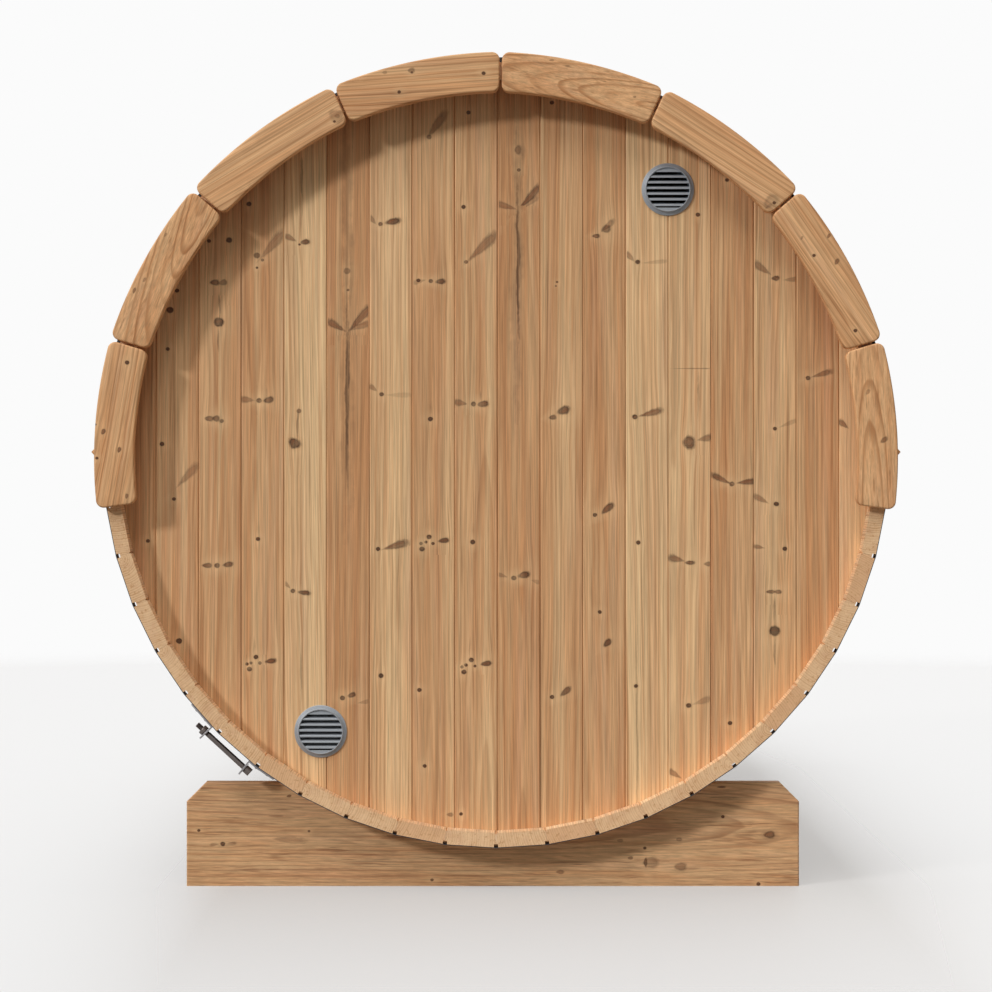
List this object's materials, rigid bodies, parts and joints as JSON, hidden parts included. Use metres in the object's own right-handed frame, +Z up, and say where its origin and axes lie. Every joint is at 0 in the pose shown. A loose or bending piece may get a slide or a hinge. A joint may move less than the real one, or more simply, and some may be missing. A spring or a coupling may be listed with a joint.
{
  "type": "barrel sauna",
  "caption": "Round timber barrel sauna: straight staves held by steel bands, recessed boarded end walls with vents, curved end trims, covered roof and wooden cradles.",
  "frame": {"origin": "on the ground, below the middle of the barrel", "axes": "+X across the barrel, to the right when facing the vented rear wall; +Y along the barrel's axis from the rear wall to the door; +Z up"},
  "size_m": [2.0248, 3.056, 2.0932],
  "materials": {
    "stave_wood": "planed, unfinished softwood with light end grain",
    "trim_wood": "planed and oiled softwood, rounded edges",
    "wall_boards": "planed softwood boards with knots",
    "cradle_wood": "planed softwood with knots, eased edges",
    "batten_wood": "planed softwood",
    "door_wood": "planed softwood boards",
    "frame_wood": "planed softwood",
    "handle_wood": "smooth softwood, rounded",
    "band_steel": "dull stainless steel strap",
    "rod_steel": "dull threaded steel",
    "hinge_steel": "black powder coat",
    "vent_metal": "grey painted louvres, satin",
    "roof_felt": "bitumen shingle with mineral grit"
  },
  "bodies": {
    "root": {"band_front": "band_steel", "band_rear": "band_steel", "cradle_front": "cradle_wood", "cradle_rear": "cradle_wood", "door_frame": "frame_wood", "door_handle": "handle_wood", "door_hinges": "hinge_steel", "door_leaf": "door_wood", "door_ledges": "door_wood", "drip_battens": "batten_wood", "front_trims": "trim_wood", "front_wall_left": "wall_boards", "front_wall_over_door": "wall_boards", "front_wall_right": "wall_boards", "rear_trim_1": "trim_wood", "rear_trim_2": "trim_wood", "rear_trim_3": "trim_wood", "rear_trim_4": "trim_wood", "rear_trim_5": "trim_wood", "rear_trim_6": "trim_wood", "rear_trim_7": "trim_wood", "rear_trim_8": "trim_wood", "rear_wall": "wall_boards", "roof_covering": "roof_felt", "staves_1": "stave_wood", "staves_2": "stave_wood", "staves_3": "stave_wood", "staves_4": "stave_wood", "staves_5": "stave_wood", "staves_6": "stave_wood", "staves_7": "stave_wood", "staves_8": "stave_wood", "tension_lugs_front": "band_steel", "tension_lugs_rear": "band_steel", "tension_rod_front": "rod_steel", "tension_rod_rear": "rod_steel", "wall_vents": "vent_metal"}
  },
  "joints": []
}
